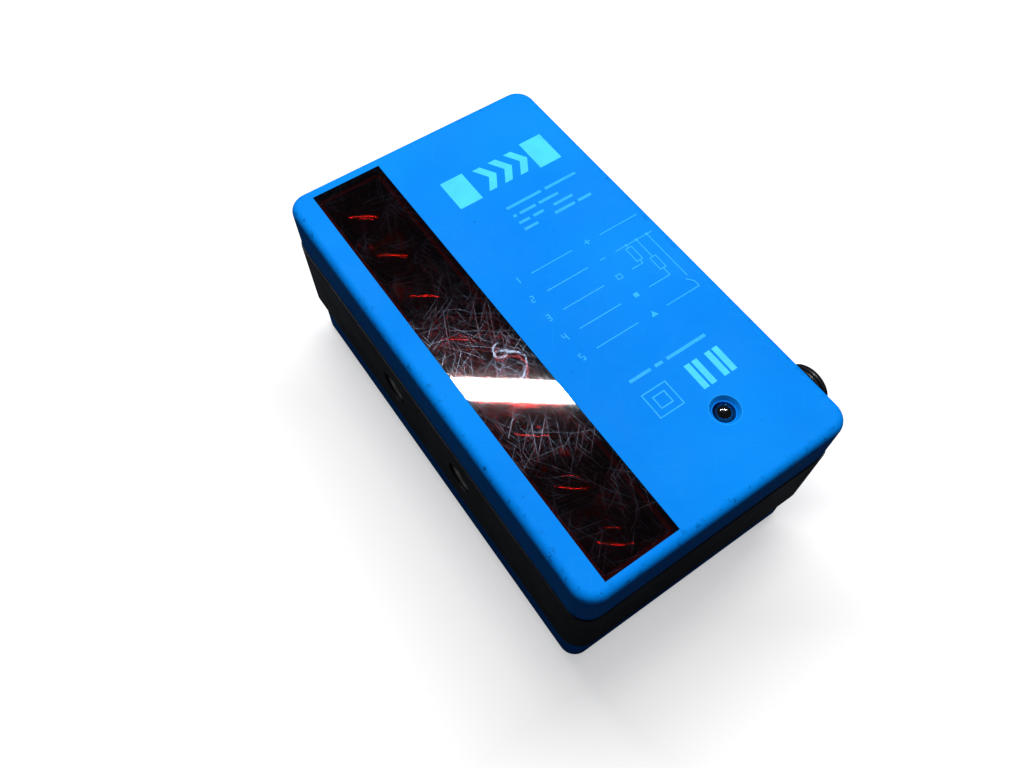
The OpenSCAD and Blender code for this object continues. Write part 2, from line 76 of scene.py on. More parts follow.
def add_camera():
    """A camera where the photograph was taken from."""
    data = bpy.data.cameras.new("camera")
    data.lens = CAMERA_LENS
    data.sensor_width = 36
    data.clip_start = 0.01
    data.clip_end = 20
    camera = bpy.data.objects.new("camera", data)
    bpy.context.scene.collection.objects.link(camera)
    camera.rotation_mode = "QUATERNION"
    aim = (CAMERA_AIM - CAMERA_AT).to_track_quat("-Z", "Y")
    roll = Matrix.Rotation(CAMERA_ROLL, 4, "Z").to_quaternion()
    camera.location = CAMERA_AT * MM
    camera.rotation_quaternion = aim @ roll
    bpy.context.scene.camera = camera


# ---------------------------------------------------------------- light and floor

FLOOR_COLOUR = (0.55, 0.55, 0.55, 1)
FLOOR_GLOW = (0.5, 0.5, 0.505, 1)
FLOOR_BOUNCE = (0.05, 0.054, 0.062, 1)
SKY_SEEN = (0.52, 0.525, 0.53, 1)
SKY_LIGHT = (0.024, 0.027, 0.034, 1)
# In metres and watts
FLOOR_SIDE = 8
STRIP_LENGTH = 1.2
STRIP_WIDTH = 0.036
STRIP_POWER = 15.0
STRIP_AT = Vector((0.300, 0.405, 1.0))
STRIP_TURN = math.radians(-37)
SOFTBOX_SIDE = 0.5
SOFTBOX_POWER = 6.0
SOFTBOX_AT = Vector((0.05, 0.08, 1.4))


def add_area(name, place, size_x, size_y, power, turn=0.0):
    """A lamp that faces down. Its place and size are in metres."""
    light = bpy.data.lights.new(name, "AREA")
    light.shape = "RECTANGLE"
    light.size = size_x
    light.size_y = size_y
    light.energy = power
    lamp = bpy.data.objects.new(name, light)
    bpy.context.scene.collection.objects.link(lamp)
    lamp.location = place
    lamp.rotation_euler = (0, 0, turn)
    return lamp


def add_light():
    """A long narrow lamp that the window mirrors, and a softbox that only gives light."""
    add_area("strip_light", STRIP_AT, STRIP_LENGTH, STRIP_WIDTH, STRIP_POWER, STRIP_TURN)
    softbox = add_area("softbox", SOFTBOX_AT, SOFTBOX_SIDE, SOFTBOX_SIDE, SOFTBOX_POWER)
    softbox.visible_glossy = False
    softbox.visible_transmission = False


def seen_or_light(tree, light, seen, target):
    """One shader where the camera looks and another for the light that a stage surface gives."""
    path = tree.nodes.new("ShaderNodeLightPath")
    mix = tree.nodes.new("ShaderNodeMixShader")
    tree.links.new(path.outputs["Is Camera Ray"], mix.inputs[0])
    tree.links.new(light.outputs[0], mix.inputs[1])
    tree.links.new(seen.outputs[0], mix.inputs[2])
    tree.links.new(mix.outputs[0], target)


def coloured(tree, kind, colour):
    """A shader of one kind, whose first input is its colour."""
    shader = tree.nodes.new(kind)
    shader.inputs[0].default_value = colour
    return shader


def add_stage():
    """A plain pale floor and sky."""
    bpy.ops.mesh.primitive_plane_add(size=FLOOR_SIDE, location=(0, 0, -0.1 * MM))
    floor = bpy.context.object
    floor.name = "floor"
    paint = bpy.data.materials.new("floor")
    paint.use_nodes = True
    tree = paint.node_tree
    tree.nodes.clear()
    out = tree.nodes.new("ShaderNodeOutputMaterial")
    both = tree.nodes.new("ShaderNodeAddShader")
    tree.links.new(coloured(tree, "ShaderNodeBsdfDiffuse", FLOOR_COLOUR).outputs[0], both.inputs[0])
    tree.links.new(coloured(tree, "ShaderNodeEmission", FLOOR_GLOW).outputs[0], both.inputs[1])
    seen_or_light(tree, coloured(tree, "ShaderNodeBsdfDiffuse", FLOOR_BOUNCE), both, out.inputs[0])
    floor.data.materials.append(paint)
    world = bpy.data.worlds.new("studio")
    bpy.context.scene.world = world
    world.use_nodes = True
    tree = world.node_tree
    tree.nodes.clear()
    out = tree.nodes.new("ShaderNodeOutputWorld")
    seen_or_light(tree, coloured(tree, "ShaderNodeBackground", SKY_LIGHT),
                  coloured(tree, "ShaderNodeBackground", SKY_SEEN), out.inputs[0])


# ---------------------------------------------------------------- node materials


class Paint:
    """Builds one node material. Values may be numbers, colours or sockets of other nodes."""

    def __init__(self, name):
        self.material = bpy.data.materials.new(name)
        self.material.use_nodes = True
        self.tree = self.material.node_tree
        self.tree.nodes.clear()
        self.out = self.tree.nodes.new("ShaderNodeOutputMaterial")
        self.place = self.tree.nodes.new("ShaderNodeTexCoord").outputs["Object"]

    def put(self, value, socket):
        """Links a socket to another node's output, or sets its value."""
        if isinstance(value, bpy.types.NodeSocket):
            self.tree.links.new(value, socket)
        elif value is not None:
            socket.default_value = value

    def node(self, kind, settings=None, inputs=None):
        """A node of one kind. Inputs are found by name or by number."""
        made = self.tree.nodes.new(kind)
        for key, value in (settings or {}).items():
            setattr(made, key, value)
        for key, value in (inputs or {}).items():
            self.put(value, made.inputs[key])
        return made

    def maths(self, operation, a, b=None, c=None):
        """One step of arithmetic on numbers or sockets."""
        made = self.node("ShaderNodeMath", {"operation": operation})
        for value, socket in zip((a, b, c), made.inputs):
            self.put(value, socket)
        return made.outputs[0]

    def moved(self, turn=(0, 0, 0), scale=(1, 1, 1), shift=(0, 0, 0), at=None):
        """The surface point, or the point at, after a scale, a turn and a shift in metres."""
        inputs = {"Vector": at or self.place, "Rotation": turn, "Scale": scale, "Location": shift}
        return self.node("ShaderNodeMapping", None, inputs).outputs[0]

    def noise(self, size, detail=2.0, roughness=0.5, at=None, distortion=0.0):
        """Noise from about 0 to 1, whose features are about size millimetres wide."""
        inputs = {"Vector": at or self.place, "Scale": 1 / (size * MM), "Detail": detail,
                  "Roughness": roughness, "Distortion": distortion}
        return self.node("ShaderNodeTexNoise", None, inputs).outputs[0]

    def cells(self, size):
        """Distance to the middle of the nearest of many cells about size millimetres wide."""
        inputs = {"Vector": self.place, "Scale": 1 / (size * MM)}
        return self.node("ShaderNodeTexVoronoi", None, inputs).outputs[0]

    def level(self, value, low, high, to_low=0.0, to_high=1.0):
        """value between low and high, spread smoothly between to_low and to_high."""
        inputs = {0: value, 1: low, 2: high, 3: to_low, 4: to_high}
        settings = {"interpolation_type": "SMOOTHSTEP"}
        return self.node("ShaderNodeMapRange", settings, inputs).outputs[0]

    def mix(self, share, a, b):
        """Colour a where share is 0, and colour b where it is 1."""
        inputs = {0: share, 6: a, 7: b}
        return self.node("ShaderNodeMix", {"data_type": "RGBA"}, inputs).outputs[2]

    def bump(self, height, depth, normal=None):
        """Raises the surface by up to depth millimetres where height is 1."""
        inputs = {"Strength": 1.0, "Distance": depth * MM, "Height": height, "Normal": normal}
        return self.node("ShaderNodeBump", None, inputs).outputs[0]

    def streaks(self, angle, length, spread, pen, keep, bend, seed):
        """Fine scratches in one direction in XY, in millimetres: one to a cell of length by spread.

        pen is half the width of a scratch, keep the share of the cells that have one, and bend how
        far a scratch sways.
        """
        sway = self.noise(11, 1.0, at=self.moved(shift=(seed, 0.3, 0)))
        sway = self.maths("MULTIPLY", sway, bend * MM)
        push = self.node("ShaderNodeCombineXYZ", None, {0: sway, 1: sway}).outputs[0]
        at = self.node("ShaderNodeVectorMath", {"operation": "ADD"},
                       {0: self.place, 1: push}).outputs[0]
        turned = self.moved((0, 0, math.radians(angle)), (1, 1, 0), (seed, seed, 0), at)
        cell = self.moved(scale=(1 / (length * MM), 1 / (spread * MM), 0), at=turned)
        cells = self.node("ShaderNodeTexVoronoi", {"voronoi_dimensions": "2D"},
                          {"Vector": cell, "Scale": 1.0})
        off = self.node("ShaderNodeVectorMath", {"operation": "SUBTRACT"},
                        {0: cell, 1: cells.outputs["Position"]}).outputs[0]
        off = self.node("ShaderNodeSeparateXYZ", None, {0: off}).outputs
        across = self.maths("MULTIPLY", self.maths("ABSOLUTE", off[1]), spread)
        line = self.level(across, pen * 0.35, pen, 1.0, 0.0)
        ends = self.level(self.maths("ABSOLUTE", off[0]), 0.2, 0.5, 1.0, 0.0)
        luck = self.node("ShaderNodeSeparateColor", None, {0: cells.outputs["Color"]}).outputs[0]
        luck = self.level(luck, 1 - keep, 1.0)
        return self.maths("MULTIPLY", self.maths("MULTIPLY", line, ends), luck)

    def most(self, *values):
        """The highest of several values."""
        found = values[0]
        for value in values[1:]:
            found = self.maths("MAXIMUM", found, value)
        return found

    def coordinate(self, axis):
        """X, Y or Z of the surface point, in millimetres."""
        split = self.node("ShaderNodeSeparateXYZ", None, {0: self.place})
        return self.maths("MULTIPLY", split.outputs["XYZ".index(axis)], 1 / MM)

    def principled(self, **inputs):
        """The surface's main shader. An input's name has underscores in place of spaces."""
        shader = self.node("ShaderNodeBsdfPrincipled", None,
                           {key.replace("_", " "): value for key, value in inputs.items()})
        self.tree.links.new(shader.outputs[0], self.out.inputs[0])


def edge_share(paint, low, high, reach):
    """1 at the edges of a box, fading to 0 over reach millimetres on its faces."""
    gaps = []
    for i, axis in enumerate("XYZ"):
        off = paint.maths("SUBTRACT", paint.coordinate(axis), (low[i] + high[i]) / 2)
        gaps.append(paint.maths("SUBTRACT", (high[i] - low[i]) / 2, paint.maths("ABSOLUTE", off)))
    x, y, z = gaps
    second = paint.maths("MINIMUM", paint.maths("MAXIMUM", x, y), z)
    second = paint.maths("MAXIMUM", paint.maths("MINIMUM", x, y), second)
    return paint.level(second, 0.0, reach, 1.0, 0.0)


def reach_from(paint, x, y):
    """Distance from the upright axis at x and y, in millimetres, and its part along X."""
    dx = paint.maths("SUBTRACT", paint.coordinate("X"), x)
    dy = paint.maths("SUBTRACT", paint.coordinate("Y"), y)
    squares = paint.maths("MULTIPLY_ADD", dx, dx, paint.maths("MULTIPLY", dy, dy))
    return paint.maths("SQRT", squares), dx


# The countersink round the status light, whose rim gets a painted pale highlight
SINK_R = 3.45
# How far from its edges the cover is rubbed and scuffed
EDGE_REACH = 3.2
COVER_BLUES = ((0.0, 0.215, 0.80, 1), (0.0, 0.245, 0.86, 1))
MOTTLE_BLUE = (0.0, 0.25, 0.86, 1)
SMUDGE_BLUE = (0.004, 0.265, 0.86, 1)
RUBBED_BLUE = (0.012, 0.30, 0.90, 1)
SCUFF_BLUE = (0.0, 0.045, 0.19, 1)
RIM_HIGHLIGHT_BLUE = (0.03, 0.42, 0.95, 1)
SCRATCH_BLUE = (0.012, 0.30, 0.92, 1)


def cover_paint(name, low, high):
    """Blue moulded plastic: fine grain, handling shine, scuffed edges, small dark marks and a
    painted highlight round the countersink.
    """
    paint = Paint(name)
    blue = paint.mix(paint.level(paint.noise(38, 3, 0.55), 0.3, 0.7), *COVER_BLUES)
    blue = paint.mix(paint.level(paint.noise(2.2, 4, 0.6), 0.45, 0.75, 0, 0.25), blue, MOTTLE_BLUE)
    smudge = paint.level(paint.noise(9, 5, 0.7, distortion=0.6), 0.62, 0.78, 0, 0.35)
    blue = paint.mix(smudge, blue, SMUDGE_BLUE)

    edge = edge_share(paint, low, high, EDGE_REACH)
    patches = paint.level(paint.noise(3.1, 4, 0.7), 0.56, 0.72)
    rub = paint.maths("MULTIPLY", edge, patches)
    blue = paint.mix(paint.maths("MULTIPLY", rub, 0.3), blue, RUBBED_BLUE)

    scuffs = paint.noise(1.6, 4, 0.75, paint.moved(shift=(0.4, 0, 0.2)))
    scuffs = paint.level(scuffs, 0.57, 0.65)
    dark = paint.maths("MULTIPLY", paint.maths("MULTIPLY", edge, 0.8), scuffs)
    specks = paint.noise(0.9, 2, 0.6, paint.moved(shift=(0, 0.7, 0)))
    specks = paint.level(specks, 0.735, 0.775, 0, 0.5)
    blue = paint.mix(paint.most(dark, specks), blue, SCUFF_BLUE)

    # A pale ring round the countersink: a painted highlight where its edge catches the light. It is
    # measured in X and Y alone, so the rear cover gets the ring too.
    from_guide, _ = reach_from(paint, GUIDE_X, GUIDE_Y)
    rim_highlight = paint.maths("ABSOLUTE", paint.maths("SUBTRACT", from_guide, SINK_R))
    rim_highlight = paint.level(rim_highlight, 0.05, 0.3, 0.55, 0.0)
    rim_highlight = paint.maths("MULTIPLY", rim_highlight, paint.level(patches, 0.0, 1.0, 0.5, 1.0))
    blue = paint.mix(rim_highlight, blue, RIM_HIGHLIGHT_BLUE)

    hair = paint.most(paint.streaks(24, 9, 3, 0.1, 0.5, 2, 0.2),
                      paint.streaks(-51, 13, 4, 0.09, 0.5, 3, 0.5))
    blue = paint.mix(paint.maths("MULTIPLY", hair, 0.25), blue, SCRATCH_BLUE)

    shine = paint.noise(17, 3, 0.6, paint.moved(shift=(0, 0, 0.5)))
    shine = paint.level(shine, 0.35, 0.7, 0.7, 0.58)
    shine = paint.maths("SUBTRACT", shine, paint.maths("MULTIPLY", rub, 0.12))
    grain = paint.bump(paint.noise(0.22, 2, 0.6), 0.012)
    grain = paint.bump(paint.noise(1.6, 2, 0.5), 0.01, grain)
    grain = paint.bump(paint.maths("MULTIPLY", hair, -1.0), 0.01, grain)
    paint.principled(Base_Color=blue, Roughness=shine, Normal=grain, Specular_IOR_Level=0.06)
    return paint.material


def black_paint(name, colour, grain_size, grain_depth, rough, dust=0.35):
    """Dark moulded plastic with grain, dust in the low spots and small pale rubs."""
    paint = Paint(name)
    cloud = paint.noise(21, 3, 0.6)
    light = tuple(min(1.0, part * 1.9 + 0.004) for part in colour) + (1,)
    tone = paint.mix(paint.level(cloud, 0.35, 0.7), colour + (1,), light)
    spots = paint.level(paint.noise(0.7, 4, 0.75), 0.62, 0.8, 0, dust)
    tone = paint.mix(spots, tone, (0.12, 0.115, 0.105, 1))
    hair = paint.streaks(67, 8, 3, 0.1, 0.5, 2, 0.8)
    tone = paint.mix(paint.maths("MULTIPLY", hair, 0.2), tone, (0.2, 0.2, 0.2, 1))
    shine = paint.noise(12, 4, 0.6, paint.moved(shift=(0.3, 0, 0)))
    shine = paint.level(shine, 0.3, 0.7, rough + 0.08, rough - 0.06)
    grain = paint.bump(paint.noise(grain_size, 3, 0.65), grain_depth)
    grain = paint.bump(paint.noise(2.4, 2, 0.5), 0.012, grain)
    paint.principled(Base_Color=tone, Roughness=shine, Normal=grain, Specular_IOR_Level=0.4)
    return paint.material


def metal_paint(name, colour, rough, ring_axis, tarnish=(0.16, 0.12, 0.08)):
    """Turned or plated metal with tool rings, tarnish and fine scratches."""
    paint = Paint(name)
    stain = paint.level(paint.noise(1.9, 5, 0.7), 0.5, 0.78, 0, 0.6)
    tone = paint.mix(stain, colour + (1,), tarnish + (1,))
    shine = paint.level(paint.noise(0.8, 4, 0.7), 0.3, 0.75, rough - 0.06, rough + 0.2)
    grain = paint.bump(paint.noise(0.12, 3, 0.6), 0.004)
    stretch = tuple(1.0 if axis == ring_axis else 0.03 for axis in "XYZ")
    rings = paint.noise(0.12, 1, 0.5, paint.moved(scale=stretch))
    grain = paint.bump(rings, 0.012, grain)
    paint.principled(Base_Color=tone, Metallic=1.0, Roughness=shine, Normal=grain)
    return paint.material


def ink_paint(name, colour, worn_share):
    """Pale cyan pad print, a little worn so that the blue shows through."""
    paint = Paint(name)
    worn = paint.level(paint.noise(0.45, 5, 0.8), 0.56, 0.7, 0, worn_share)
    paler = tuple(min(1.0, part * 1.12) for part in colour) + (1,)
    ink = paint.mix(paint.level(paint.noise(6, 3, 0.6), 0.3, 0.7), colour + (1,), paler)
    ink = paint.mix(worn, ink, (0.0, 0.24, 0.84, 1))
    rough = paint.level(paint.noise(1.2, 3, 0.6), 0.3, 0.7, 0.42, 0.58)
    grain = paint.bump(paint.noise(0.2, 3, 0.6), 0.008)
    paint.principled(Base_Color=ink, Roughness=rough, Normal=grain, Specular_IOR_Level=0.12)
    return paint.material


WINDOW_TINT = (0.92, 0.30, 0.28, 1)
# Share of the light that acrylic mirrors when it is looked at head on
HEAD_ON = 0.04
# Scratches: angle, length, spread, half width, share of cells and bend, for the streaks
SCRATCHES = ((12, 12, 1.7, 0.06, 0.5, 2), (-28, 8, 1.1, 0.05, 0.6, 3), (58, 14, 1.9, 0.06, 0.5, 2),
             (-66, 15, 1.4, 0.05, 0.5, 2), (83, 5, 0.9, 0.05, 0.6, 3), (37, 18, 2.6, 0.07, 0.5, 5),
             (-45, 10, 1.5, 0.06, 0.5, 14))
# Places along Y between which the wiped part of the window fades in and out
SCRATCH_REACH = ((-36, -22, 0.0, 1.0), (2, 20, 1.0, 0.0))
# Scuff arcs: centre X and Y, radius, and the side of the centre on which each lies
SCUFF_ARCS = ((-17.0, -8.6, 4.2, 1), (-15.4, -4.4, 1.9, -1))


def scuff_share(paint):
    """A thick curved scuff on the window: two broken arcs with ragged edges."""
    wobble = paint.maths("MULTIPLY_ADD", paint.noise(3.5, 2, 0.5), 3.0, -1.5)
    arcs = []
    for x, y, radius, side in SCUFF_ARCS:
        away, dx = reach_from(paint, x, y)
        off = paint.maths("SUBTRACT", paint.maths("ADD", away, wobble), radius)
        arc = paint.level(paint.maths("ABSOLUTE", off), 0.08, 0.42, 1.0, 0.0)
        half = paint.level(paint.maths("MULTIPLY", dx, side), -0.6, 0.6)
        arcs.append(paint.maths("MULTIPLY", arc, half))
    ragged = paint.level(paint.noise(1.1, 4, 0.75), 0.36, 0.55, 0.15, 1.0)
    return paint.maths("MULTIPLY", paint.most(*arcs), ragged)


def window_marks(paint):
    """Two shares of the window's surface: all its marks, and its scratches alone."""
    middle = paint.level(paint.coordinate("Y"), *SCRATCH_REACH[0])
    middle = paint.maths("MULTIPLY", middle, paint.level(paint.coordinate("Y"), *SCRATCH_REACH[1]))
    worn = paint.maths("MULTIPLY_ADD", middle, 0.78, 0.22)
    patchy = paint.noise(11, 3, 0.6, paint.moved(shift=(0.2, 0.1, 0)))
    patchy = paint.level(patchy, 0.38, 0.6, 0.2, 1.0)
    worn = paint.maths("MULTIPLY", worn, patchy)
    strokes = [paint.streaks(*line, 0.37 * i) for i, line in enumerate(SCRATCHES)]
    scratches = paint.maths("MULTIPLY", paint.most(*strokes), worn)
    haze = paint.level(paint.noise(0.9, 4, 0.85, distortion=1.0), 0.5, 0.7, 0.0, 0.2)
    haze = paint.maths("MULTIPLY", haze, worn)
    smear = paint.noise(12, 4, 0.7, paint.moved(shift=(0.5, 0.3, 0)))
    smear = paint.level(smear, 0.5, 0.72, 0.0, 0.012)
    return paint.most(scratches, haze, smear, scuff_share(paint)), scratches


def window_paint():
    """Dark red polished acrylic: clear with a mirror gloss, and scratched where it was wiped."""
    paint = Paint("window_red")
    marks, scratches = window_marks(paint)
    clear = paint.node("ShaderNodeBsdfTransparent", None, {0: WINDOW_TINT})
    gloss = paint.node("ShaderNodeBsdfGlossy", None, {"Color": (1, 1, 1, 1), "Roughness": 0.03})
    tilt = paint.node("ShaderNodeLayerWeight", None, {"Blend": 0.5}).outputs["Facing"]
    mirror = paint.maths("MULTIPLY_ADD", paint.maths("POWER", tilt, 5.0), 1 - HEAD_ON, HEAD_ON)
    pane = paint.node("ShaderNodeMixShader", None,
                      {0: mirror, 1: clear.outputs[0], 2: gloss.outputs[0]})
    dull = paint.node("ShaderNodeBsdfPrincipled", None,
                      {"Base Color": (0.06, 0.06, 0.1, 1), "Roughness": 0.22,
                       "Specular IOR Level": 1.0, "Specular Tint": (0.6, 0.74, 1, 1),
                       "Normal": paint.bump(scratches, 0.004)})
    both = paint.node("ShaderNodeMixShader", None,
                      {0: paint.maths("MULTIPLY", marks, 0.8), 1: pane.outputs[0],
                       2: dull.outputs[0]})
    paint.tree.links.new(both.outputs[0], paint.out.inputs[0])
    return paint.material


def glass_paint(name, tint, rough, ripple=0.0, polish=0.0):
    """Clear moulded plastic that bends light.

    ripple is the depth of its flow marks, in millimetres, and polish the share of a bright coat.
    """
    paint = Paint(name)
    flow = paint.bump(paint.noise(0.8, 1, 0.5), ripple) if ripple else None
    dull = paint.level(paint.noise(4, 4, 0.6), 0.45, 0.8, rough, rough + 0.03)
    paint.principled(Base_Color=tint + (1,), Roughness=dull, Normal=flow, IOR=1.49,
                     Transmission_Weight=1.0, Coat_Weight=polish, Coat_Roughness=0.12, Coat_IOR=2.2,
                     Coat_Normal=flow)
    return paint.material


def film_paint():
    """Thin grey film that lets most light through, without a mirror of its own."""
    paint = Paint("film_grey")
    tone = paint.mix(paint.noise(9, 3, 0.6), (0.92, 0.92, 0.93, 1), (0.97, 0.97, 0.97, 1))
    clear = paint.node("ShaderNodeBsdfRefraction", None,
                       {"Color": tone, "Roughness": 0.0, "IOR": 1.0})
    paint.tree.links.new(clear.outputs[0], paint.out.inputs[0])
    return paint.material


def soft_paint(name, colour, pore):
    """Rubber or foam: matt, with pores of about pore millimetres whose pits are painted darker as
    shade.
    """
    paint = Paint(name)
    pits_and_shade = paint.level(paint.cells(pore), 0.1, 0.5)
    # Pore centres are painted darker: painted shade in the bumped pits.
    tone = paint.mix(pits_and_shade, tuple(part * 0.5 for part in colour) + (1,), colour + (1,))
    rough = paint.level(paint.noise(3, 3, 0.6), 0.3, 0.7, 0.75, 0.92)
    paint.principled(Base_Color=tone, Roughness=rough, Normal=paint.bump(pits_and_shade, 0.03),
                     Specular_IOR_Level=0.25)
    return paint.material


def board_paint():
    """Green solder mask over copper tracks and the weave of the board."""
    paint = Paint("board_green")
    grid = paint.moved(scale=(1 / (2.4 * MM), 1 / (3.1 * MM), 0))
    brick = paint.node("ShaderNodeTexBrick", None,
                       {"Vector": grid, "Scale": 1.0, "Mortar Size": 0.07, "Color1": (0, 0, 0, 1),
                        "Color2": (0, 0, 0, 1), "Mortar": (1, 1, 1, 1)}).outputs[0]
    tracks = paint.level(brick, 0.3, 0.7)
    tone = paint.mix(tracks, (0.006, 0.075, 0.03, 1), (0.02, 0.17, 0.06, 1))
    weave = paint.noise(0.5, 2, 0.6)
    normal = paint.bump(weave, 0.006, paint.bump(tracks, 0.03))
    rough = paint.level(weave, 0.3, 0.7, 0.26, 0.4)
    paint.principled(Base_Color=tone, Roughness=rough, Normal=normal)
    return paint.material


def moulded_paint(name, colour, rough, spread=0.25, translucent=0.0):
    """Small moulded part: slight mottling, fine grain and soft wear."""
    paint = Paint(name)
    darker = tuple(part * (1 - spread) for part in colour) + (1,)
    tone = paint.mix(paint.level(paint.noise(1.6, 4, 0.65), 0.3, 0.72), darker, colour + (1,))
    shine = paint.level(paint.noise(1.1, 3, 0.6), 0.3, 0.7, rough - 0.05, rough + 0.1)
    normal = paint.bump(paint.noise(0.18, 2, 0.6), 0.008)
    paint.principled(Base_Color=tone, Roughness=shine, Normal=normal, Subsurface_Weight=translucent,
                     Subsurface_Radius=(0.002, 0.001, 0.001))
    return paint.material


def dress(nodes, material):
    """Gives CAD nodes a material, through their material slots."""
    for name in nodes:
        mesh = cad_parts[name].data
        if not mesh.materials:
            mesh.materials.append(material)
        for i in range(len(mesh.materials)):
            mesh.materials[i] = material


# ---------------------------------------------------------------- mesh helpers


def add_mesh(name, vertices, faces, material, body, smooth_angle=35):
    """A piece in millimetres that rides on a body. Doubled points merge and empty faces go."""
    mesh = bpy.data.meshes.new(name)
    made = bmesh.new()
    points = [made.verts.new(Vector(v) * MM) for v in vertices]
    for face in faces:
        if len(set(face)) > 2:
            made.faces.new([points[i] for i in face])
    bmesh.ops.remove_doubles(made, verts=made.verts, dist=0.5e-6)
    bmesh.ops.dissolve_degenerate(made, edges=made.edges, dist=0.5e-6)
    bmesh.ops.recalc_face_normals(made, faces=made.faces)
    made.to_mesh(mesh)
    made.free()
    mesh.shade_smooth()
    mesh.set_sharp_from_angle(angle=math.radians(smooth_angle))
    mesh.materials.append(material)
    piece = bpy.data.objects.new(name, mesh)
    bpy.context.scene.collection.objects.link(piece)
    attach(piece, body)
    return piece


# ---------------------------------------------------------------- turned shapes and threads

# Points round a turned shape
COLUMNS = 96


def ring_rows(profile):
    """Rows of points round the X axis, one for each (x, radius) of the profile."""
    rows = []
    for x, radius in profile:
        rows.append([(x, radius * math.cos(turn), radius * math.sin(turn))
                     for turn in (2 * math.pi * j / COLUMNS for j in range(COLUMNS))])
    return rows


def thread_rows(start, end, pitch, shape, limit):
    """Rows that follow a helix round the X axis from start to end.

    shape lists (share of the pitch, radius) over one turn, and limit(x, radius) trims both ends.
    """
    rows = []
    turns = math.ceil((end - start) / pitch) + 1
    for turn in range(turns):
        for share, radius in shape:
            row = []
            for j in range(COLUMNS):
                angle = 2 * math.pi * j / COLUMNS
                x = start + (turn - 1 + share + j / COLUMNS) * pitch
                x = min(max(x, start), end)
                r = limit(x, radius)
                row.append((x, r * math.cos(angle), r * math.sin(angle)))
            rows.append(row)
    return rows


def helix_faces(first, count, step):
    """Faces between rows that shift by step rows at each full turn. They start at index first."""
    faces = []
    for k in range(count - 1):
        for j in range(COLUMNS):
            a, b = k * COLUMNS + j, (k + 1) * COLUMNS + j
            if j + 1 < COLUMNS:
                c, d = b + 1, a + 1
            elif k + 1 + step < count:
                c, d = (k + 1 + step) * COLUMNS, (k + step) * COLUMNS
            else:
                continue
            faces.append([first + i for i in (a, b, c, d)])
    return faces


def ring_faces(first, count):
    """Faces between closed rings of points. They start at index first."""
    faces = []
    for k in range(count - 1):
        for j in range(COLUMNS):
            n = (j + 1) % COLUMNS
            faces.append([first + i for i in (k * COLUMNS + j, (k + 1) * COLUMNS + j,
                                              (k + 1) * COLUMNS + n, k * COLUMNS + n)])
    return faces


def add_threaded(vertices, faces, before, helix, after, step, y, z):
    """Adds a solid turned about the axis at y and z: rings, then a thread, then rings again."""
    for rows in (before, helix, after):
        if rows is helix:
            faces += helix_faces(len(vertices), len(rows), step)
        else:
            faces += ring_faces(len(vertices), len(rows))
        vertices += [(x, y + side, z + up) for row in rows for x, side, up in row]


def box_points(low, high):
    """The eight corners of a box, in the order that box_faces takes them."""
    return [(x, y, z) for x in (low[0], high[0]) for y in (low[1], high[1])
            for z in (low[2], high[2])]


def box_faces(first):
    """The six sides of a box whose points start at index first."""
    sides = ((0, 1, 3, 2), (4, 6, 7, 5), (0, 4, 5, 1), (2, 3, 7, 6), (0, 2, 6, 4), (1, 5, 7, 3))
    return [[first + i for i in side] for side in sides]


# The plug's shell: places along X and radii, from the inner end to the mouth
BEVEL = 0.2
PLUG_Y = (PLUG_LOW.y + PLUG_HIGH.y) / 2
PLUG_Z = (PLUG_LOW.z + PLUG_HIGH.z) / 2
PLUG_START, PLUG_END = PLUG_LOW.x, PLUG_HIGH.x
COLLAR_R = 7.0
COLLAR_END = 32.9
GROOVE_START, GROOVE_END, GROOVE_R = 28.35, 30.45, 5.23
NECK_R = 5.4
THREAD_R = 6.0
THREAD_PITCH = 1.0
THREAD_GAP = 1.0
THREAD_START = corners("middle_body")[1].x + THREAD_GAP
SOCKET_R = 4.3
MOUTH_BEVEL = 0.35
# The key that stands in from the socket's wall
KEY_START = 39.4
KEY_INSET = 1.0
KEY_HALF_W = 0.6
KEY_DEPTH = 0.7
KEY_SUNK = 0.2


def add_plug_shell(material):
    """The plug's shell with its M12 x 1 thread, O-ring groove, socket and key."""
    back = [(KEY_START, SOCKET_R), (PLUG_START + BEVEL, SOCKET_R), (PLUG_START, SOCKET_R + BEVEL),
            (PLUG_START, COLLAR_R - BEVEL), (PLUG_START + BEVEL, COLLAR_R),
            (GROOVE_START, COLLAR_R), (GROOVE_START, GROOVE_R), (GROOVE_END, GROOVE_R),
            (GROOVE_END, COLLAR_R), (COLLAR_END - BEVEL, COLLAR_R), (COLLAR_END, COLLAR_R - BEVEL),
            (COLLAR_END, NECK_R), (THREAD_START, NECK_R)]
    front = [(PLUG_END, NECK_R), (PLUG_END, SOCKET_R + MOUTH_BEVEL),
             (PLUG_END - MOUTH_BEVEL, SOCKET_R), (KEY_START, SOCKET_R)]
    shape = ((0.0, NECK_R), (0.27, NECK_R), (0.56, THREAD_R), (0.71, THREAD_R))
    helix = thread_rows(
        THREAD_START, PLUG_END, THREAD_PITCH, shape,
        lambda x, r: min(r, NECK_R + 0.8 * (x - THREAD_START), NECK_R + PLUG_END - x))
    vertices, faces = [], []
    add_threaded(vertices, faces, ring_rows(back), helix, ring_rows(front), len(shape),
                 PLUG_Y, PLUG_Z)
    faces += box_faces(len(vertices))
    wall = PLUG_Z + SOCKET_R
    vertices += box_points((KEY_START, PLUG_Y - KEY_HALF_W, wall - KEY_DEPTH),
                           (PLUG_END - KEY_INSET, PLUG_Y + KEY_HALF_W, wall + KEY_SUNK))
    piece = add_mesh("plug_shell_threaded", vertices, faces, material, "plug", 30)
    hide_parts("plug_shell")


